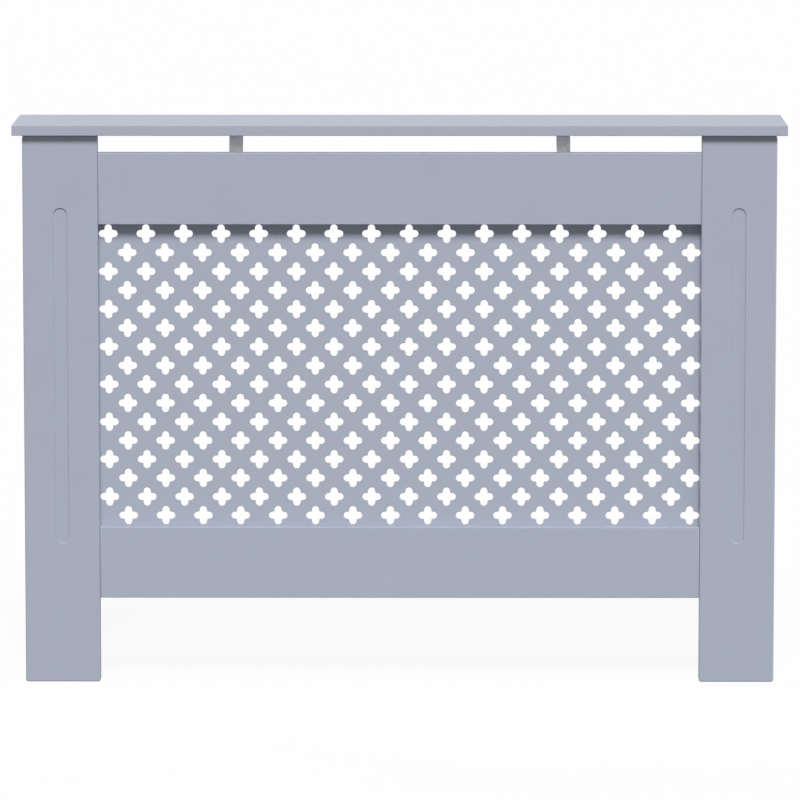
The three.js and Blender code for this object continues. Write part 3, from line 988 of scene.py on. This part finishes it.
@dataclass
class Fasteners(SubAssembly):
    """The screws, of one pattern, and the dowels, of another."""

    screw_sides: int = 24
    length: float = 12 * MM
    shank: float = 1.75 * MM
    root: float = 1.2 * MM
    pitch: float = 1.25 * MM
    tip: float = 0.15 * MM
    tip_length: float = 1.6 * MM
    neck: float = 0.6 * MM
    flare: float = 0.1 * MM
    head: float = 3.5 * MM
    head_height: float = 2.2 * MM
    rim_height: float = 0.35 * MM
    crown: float = 0.25 * MM
    crown_steps: int = 6
    fullness: float = 0.8
    recess: float = 1.5 * MM
    recess_width: float = 0.8 * MM
    recess_depth: float = 1.3 * MM
    recess_taper: float = 0.55
    overrun: float = 1 * MM
    dowel_radius: float = 4 * MM
    dowel_length: float = 30 * MM
    dowel_easing: float = 0.9 * MM
    flutes: int = 16
    flute_depth: float = 0.3 * MM
    seam: float = 0.05 * MM
    sheet_screws: int = 5
    sheet_screw_inset: float = 12.5 * MM
    sheet_screw_margin: float = 36.5 * MM

    def screw_profile(self) -> list[tuple[float, float]]:
        """Draws the outline of a screw from its point to its crown.

        Returns:
            The radius and the height of each point.
        """
        outline = [(self.tip, -self.length)]
        level = -self.length + self.tip_length
        while level + self.pitch < -self.neck:
            outline += [(self.root, level), (self.shank, level + self.pitch / 2)]
            level += self.pitch
        outline += [(self.root, level), (self.root, -self.flare), (self.head, 0)]
        for step in range(self.crown_steps):
            angle = step / self.crown_steps * math.pi / 2
            rise = self.rim_height + (self.head_height - self.rim_height) * math.sin(angle)
            outline.append((self.head * math.cos(angle) ** self.fullness, rise))
        outline.append((self.crown, self.head_height))
        return outline

    def screw_pattern(self) -> Obj:
        """Models one screw, its seat at the origin and its head upwards.

        Returns:
            The screw.
        """
        outline = self.screw_profile()
        point, foot = outline[0]
        Bench.clear()
        bpy.ops.mesh.primitive_circle_add(
            vertices=self.screw_sides, radius=point, location=(0, 0, foot), fill_type="NGON"
        )
        screw = Bench.named("screw_pattern")
        with Bench.editing(screw, "FACE", everything):
            for (radius, level), (wider, higher) in zip(outline, outline[1:]):
                bpy.ops.mesh.extrude_region_move(
                    TRANSFORM_OT_translate={"value": (0, 0, higher - level)}
                )
                self.scale_across(wider / radius, higher)
        Bench.close(screw, 35)
        bottom, top = self.head_height - self.recess_depth, self.head_height + self.overrun
        reach, half = self.recess, self.recess_width / 2
        for x, y in ((reach, half), (half, reach)):
            slot = Bench.block("recess", (-x, -y, bottom), (x, y, top))
            with Bench.editing(slot, "FACE", on_plane(2, bottom)):
                self.scale_across(self.recess_taper, bottom)
            Bench.cut(screw, slot)
        Bench.close(screw, 35)
        return screw

    @staticmethod
    def scale_across(factor: float, level: float) -> None:
        """Scales what is selected across the upright axis, about a level."""
        bpy.ops.transform.resize(value=(factor, factor, 1), center_override=(0, 0, level))

    def dowel_pattern(self) -> Obj:
        """Models one fluted dowel, standing with its foot at the origin.

        Returns:
            The dowel.
        """
        apart = 3  # sides from one flute to the next
        sides = self.flutes * apart
        dowel = Bench.rod("dowel_pattern", self.dowel_radius, self.dowel_length, sides)
        ends = any_of([on_plane(2, 0), on_plane(2, self.dowel_length)])
        Bench.round_edges(dowel, ends, self.dowel_easing, EASING_STEPS)

        def in_flute(vertex: bmesh.types.BMVert) -> bool:
            """Tells whether a vertex lies in one of the flutes."""
            place = round(math.atan2(vertex.co.y, vertex.co.x) / math.tau * sides)
            return vertex.co.xy.length > self.dowel_radius - TOUCH and place % apart == 0

        with Bench.editing(dowel, "VERT", in_flute):
            self.scale_across(1 - self.flute_depth / self.dowel_radius, 0)
        Bench.close(dowel, 50)
        return dowel

    def build(self) -> None:
        """Makes every screw and dowel."""
        screw, dowel = self.screw_pattern(), self.dowel_pattern()
        self.drive_screws(screw)
        self.drive_sheet_screws(screw)
        self.set_dowels(dowel)
        Bench.discard(screw)
        Bench.discard(dowel)

    def drive_screws(self, pattern: Obj) -> None:
        """Sets the screws of the braces and the angles.

        Args:
            pattern: The screw that was modelled.
        """
        for side in Side:
            places = {
                f"{side.label}_brace_rail_screw": Direction.WALLWARDS,
                f"{side.label}_brace_shelf_screw": Direction.DOWNWARDS,
            }
            for place in ("front", "rear"):
                places[f"{side.label}_{place}_angle_panel_screw"] = side.inwards
                places[f"{side.label}_{place}_angle_shelf_screw"] = Direction.DOWNWARDS
            for node, out in places.items():
                low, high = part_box(node)
                crown = abs(out.vector.dot(high - low)) / 2
                seat = middle_of(node) + out.vector * (crown - self.head_height)
                screw = Bench.copy_to(pattern, f"{node}_fitting", seat, facing(out))
                self.keep(screw, Finish.ZINC_SCREW, node)

    def drive_sheet_screws(self, pattern: Obj) -> None:
        """Sets the screws that hold the sheet to the backs of the rails.

        Args:
            pattern: The screw that was modelled.
        """
        low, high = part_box("grille_sheet")
        first = low.x + self.sheet_screw_margin
        spacing = (high.x - low.x - 2 * self.sheet_screw_margin) / (self.sheet_screws - 1)
        rows = {"upper": high.z - self.sheet_screw_inset, "lower": low.z + self.sheet_screw_inset}
        for row, level in rows.items():
            for i in range(self.sheet_screws):
                name = f"{row}_sheet_screw_{i + 1}"
                seat = Vector((first + i * spacing, high.y + self.seam, level))
                screw = Bench.copy_to(pattern, name, seat, facing(Direction.WALLWARDS))
                self.keep(screw, Finish.ZINC_SCREW)

    def set_dowels(self, pattern: Obj) -> None:
        """Sets the dowels of the rails and the side panels.

        Args:
            pattern: The dowel that was modelled.
        """
        for side in Side:
            rows = {
                f"{rail}_rail_{side.label}_dowel_{place}": Direction.RIGHTWARDS
                for rail in ("upper", "lower")
                for place in ("low", "high")
            }
            for number in (1, 2, 3):
                rows[f"{side.label}_side_dowel_{number}"] = Direction.WALLWARDS
            for node, along in rows.items():
                across = along is Direction.RIGHTWARDS
                foot = middle_of(node) - along.vector * self.dowel_length / 2
                dowel = Bench.copy_to(pattern, f"{node}_peg", foot, facing(along))
                self.keep(dowel, Finish.BEECH_ACROSS if across else Finish.BEECH_BACK, node)


@dataclass
class BentMetal(SubAssembly):
    """Pieces pressed from flat steel: drawn as a sheet, bent, thickened, drilled and eased."""

    thickness: float = 1.5 * MM
    bend_radius: float = 3.2 * MM
    corner_radius: float = 3 * MM
    corner_steps: int = 4
    easing: float = 0.25 * MM
    hole_radius: float = 2.1 * MM
    bend_steps: int = 5
    drill_length: float = 8 * MM
    drill_sides: int = 24
    sharp_turn: float = 50  # degrees; an edge that turns more than this is eased

    def bend(self, sheet: Obj, bends: Chooser, turn: float) -> None:
        """Rounds the bends of a sheet and gives it its thickness.

        Args:
            sheet: The sheet along the middle of the metal.
            bends: Tells whether an edge is a bend.
            turn: How much each bend turns, in degrees.
        """
        setback = self.bend_radius * math.tan(math.radians(turn / 2))
        Bench.round_edges(sheet, bends, setback, self.bend_steps)
        settings = {"thickness": self.thickness, "offset": 0.0, "use_even_offset": True}
        Bench.finish_with(sheet, "SOLIDIFY", settings)

    def drill(self, piece: Obj, middle: Vector, out: Direction) -> None:
        """Drills a screw's hole.

        Args:
            piece: The bent piece.
            middle: The middle of the hole.
            out: The direction of its axis.
        """
        rod = Bench.rod("rod", self.hole_radius, self.drill_length, self.drill_sides)
        start = middle - out.vector * self.drill_length / 2
        bit = Bench.copy_to(rod, "bit", start, facing(out))
        Bench.discard(rod)
        Bench.cut(piece, bit)

    def ease(self, piece: Obj) -> None:
        """Takes the sharpness off every edge.

        Args:
            piece: The bent piece.
        """
        Bench.close(piece, 35)
        settings = {"width": self.easing, "segments": EASING_STEPS, "limit_method": "ANGLE"}
        settings["angle_limit"] = math.radians(self.sharp_turn)
        Bench.finish_with(piece, "BEVEL", settings)
        Bench.close(piece, 35)


@dataclass
class BraceStrips(BentMetal):
    """The bent strips that hold the shelf to the upper rail."""

    def build(self) -> None:
        """Makes both strips."""
        for side in Side:
            self.strip(side)

    def strip(self, side: Side) -> None:
        """Makes one strip: a flat foot, a middle that leans back, and a flat head.

        Args:
            side: Which strip it is.
        """
        node = f"{side.label}_brace_strip"
        low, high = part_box(node)
        half, middle = self.thickness / 2, (low.x + high.x) / 2
        foot_y, head_z = low.y + half, high.z - half
        rail_screw = middle_of(f"{side.label}_brace_rail_screw")
        shelf_screw = middle_of(f"{side.label}_brace_shelf_screw")
        lean = 2 * shelf_screw.y - foot_y - high.y  # the screw is in the middle of the head
        bend_z = head_z - lean
        strip = Bench.plate(
            f"{side.label}_brace",
            (middle, foot_y, (low.z + bend_z) / 2),
            (high.x - low.x, bend_z - low.z),
            (math.pi / 2, 0, 0),
        )
        Bench.extrude(strip, on_plane(2, bend_z), (0, lean, lean))
        Bench.extrude(strip, on_plane(2, head_z), (0, high.y - foot_y - lean, 0))
        Bench.round_corners(
            strip,
            lambda v: abs(v.co.z - low.z) < TOUCH or abs(v.co.y - high.y) < TOUCH,
            self.corner_radius,
            self.corner_steps,
        )
        lower = edge_between(on_plane(2, bend_z), on_plane(1, foot_y))
        upper = edge_between(on_plane(2, head_z), on_plane(1, foot_y + lean))
        self.bend(strip, any_of([lower, upper]), 45)
        self.drill(strip, Vector((middle, foot_y, rail_screw.z)), Direction.WALLWARDS)
        self.drill(strip, Vector((middle, shelf_screw.y, head_z)), Direction.DOWNWARDS)
        self.ease(strip)
        # The strip takes the zinc lightened as painted light against the shade under the shelf.
        self.keep(strip, Finish.ZINC_STRIP, node)


@dataclass
class CornerAngles(BentMetal):
    """The bent angles between the side panels and the shelf."""

    thickness: float = 2 * MM
    bend_radius: float = 2.6 * MM
    easing: float = 0.3 * MM

    def build(self) -> None:
        """Makes the four angles."""
        for side in Side:
            for place in ("front", "rear"):
                self.angle(side, place)

    def angle(self, side: Side, place: str) -> None:
        """Makes one angle: one leg on the side panel and one under the shelf.

        Args:
            side: The side of the cabinet.
            place: front or rear.
        """
        node = f"{side.label}_{place}_angle"
        low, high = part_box(node)
        half, middle = self.thickness / 2, (low.y + high.y) / 2
        inner, outer = (low.x, high.x - half) if side is Side.RIGHT else (high.x, low.x + half)
        top = high.z - half
        angle = Bench.plate(
            f"{node}_bracket",
            (outer, middle, (low.z + top) / 2),
            (top - low.z, high.y - low.y),
            (0, math.pi / 2, 0),
        )
        Bench.extrude(angle, on_plane(2, top), (inner - outer, 0, 0))
        Bench.round_corners(
            angle,
            lambda v: abs(v.co.z - low.z) < TOUCH or abs(v.co.x - inner) < TOUCH,
            self.corner_radius,
            self.corner_steps,
        )
        self.bend(angle, edge_between(on_plane(2, top), on_plane(0, outer)), 90)
        panel_screw = middle_of(f"{node}_panel_screw")
        shelf_screw = middle_of(f"{node}_shelf_screw")
        self.drill(angle, Vector((outer, middle, panel_screw.z)), side.inwards)
        self.drill(angle, Vector((shelf_screw.x, middle, top)), Direction.DOWNWARDS)
        self.ease(angle)
        self.keep(angle, Finish.ZINC_ANGLE, node)


# ---- Studio ----


@dataclass(frozen=True)
class Lamp:
    """A distant lamp: degrees to the right of the front, above the floor and across its disc."""

    name: str
    strength: float
    azimuth: float
    elevation: float
    spread: float
    distance: float = 4.0

    def hang(self) -> None:
        """Hangs the lamp so that it shines on the origin."""
        turn, tilt = math.radians(self.azimuth), math.radians(self.elevation)
        level = math.cos(tilt)
        towards = Vector((math.sin(turn) * level, -math.cos(turn) * level, math.sin(tilt)))
        Bench.clear()
        bpy.ops.object.light_add(type="SUN", location=towards * self.distance)
        lamp = bpy.context.object
        lamp.name = lamp.data.name = self.name
        lamp.rotation_euler = towards.to_track_quat("Z", "Y").to_euler()
        lamp.data.energy = self.strength
        lamp.data.angle = math.radians(self.spread)


@dataclass
class Studio:
    """The pale floor, the lamps and the camera."""

    floor_radius: float = 40.0
    floor_sides: int = 96
    floor_colour: Triple = (0.82, 0.82, 0.82)
    floor_bounce: Triple = (0.28, 0.28, 0.28)
    floor_shadow: float = 0.07
    surroundings: float = 0.12
    lamps: tuple[Lamp, ...] = (
        Lamp("key", 3.31, 2, 48.5, 20),
        Lamp("side_fill", 0.65, 65, 15, 60),
        Lamp("end_fill", 1.0, 95, 6, 12),
        Lamp("rear_fill", 1.6, 215, 6, 12),
    )
    camera_place: Triple = (0.031, -9.0, 1.568)
    camera_pitch: float = 7.37
    camera_yaw: float = -0.196
    camera_lens: float = 278.7
    camera_sensor: float = 36
    camera_reach: tuple[float, float] = (0.1, 100.0)

    def build(self) -> None:
        """Sets the studio up."""
        self.lay_floor()
        self.light_surroundings()
        for lamp in self.lamps:
            lamp.hang()
        self.place_camera()
        bpy.context.scene.view_settings.view_transform = "Standard"

    def lay_floor(self) -> None:
        """Lays the floor: seen, white with a light shadow; as a light, grey."""
        Bench.clear()
        bpy.ops.mesh.primitive_circle_add(
            vertices=self.floor_sides, radius=self.floor_radius, fill_type="NGON"
        )
        floor = Bench.named("floor")
        material = bpy.data.materials.new("pale_floor")
        tree = Tree(material)
        tree.nodes.remove(tree.nodes["Principled BSDF"])
        grey, pale = (
            tree.node("ShaderNodeBsdfDiffuse", {"Color": (*colour, 1)})
            for colour in (self.floor_bounce, self.floor_colour)
        )
        seen = tree.mix(self.floor_shadow, tree.node("ShaderNodeEmission"), pale)
        whole = tree.mix(tree.seen_rays(), grey, seen)
        tree.feed(tree.nodes["Material Output"], {"Surface": whole.outputs["Shader"]})
        floor.data.materials.append(material)

    def light_surroundings(self) -> None:
        """Makes the room: white to the camera, dimmer as a light."""
        world = bpy.data.worlds.new("studio")
        bpy.context.scene.world = world
        tree = Tree(world)
        light = tree.nodes["Background"]
        white = {"Color": (1, 1, 1, 1)}
        tree.feed(light, {**white, "Strength": self.surroundings})
        whole = tree.mix(tree.seen_rays(), light, tree.node("ShaderNodeBackground", white))
        tree.feed(tree.nodes["World Output"], {"Surface": whole.outputs["Shader"]})

    def place_camera(self) -> None:
        """Sets the camera up in front of the cabinet, a little above it."""
        Bench.clear()
        rotation = (math.radians(90 - self.camera_pitch), 0, math.radians(-self.camera_yaw))
        bpy.ops.object.camera_add(location=self.camera_place, rotation=rotation)
        camera = bpy.context.object
        camera.data.lens = self.camera_lens
        camera.data.sensor_width = self.camera_sensor
        camera.data.clip_start, camera.data.clip_end = self.camera_reach
        bpy.context.scene.camera = camera


def main() -> None:
    """Builds every sub-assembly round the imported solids, and the studio."""
    logging.basicConfig(level=logging.INFO, format="%(name)s: %(message)s")
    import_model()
    made: list[SubAssembly] = [TopShelf(), FrontBoards(), SidePanels(), GrilleSheet()]
    made += [BraceStrips(), CornerAngles(), Fasteners()]
    for assembly in made:
        assembly.build()
        assembly.dress()
    Studio().build()
    Bench.clear()


if __name__ == "__main__":
    main()
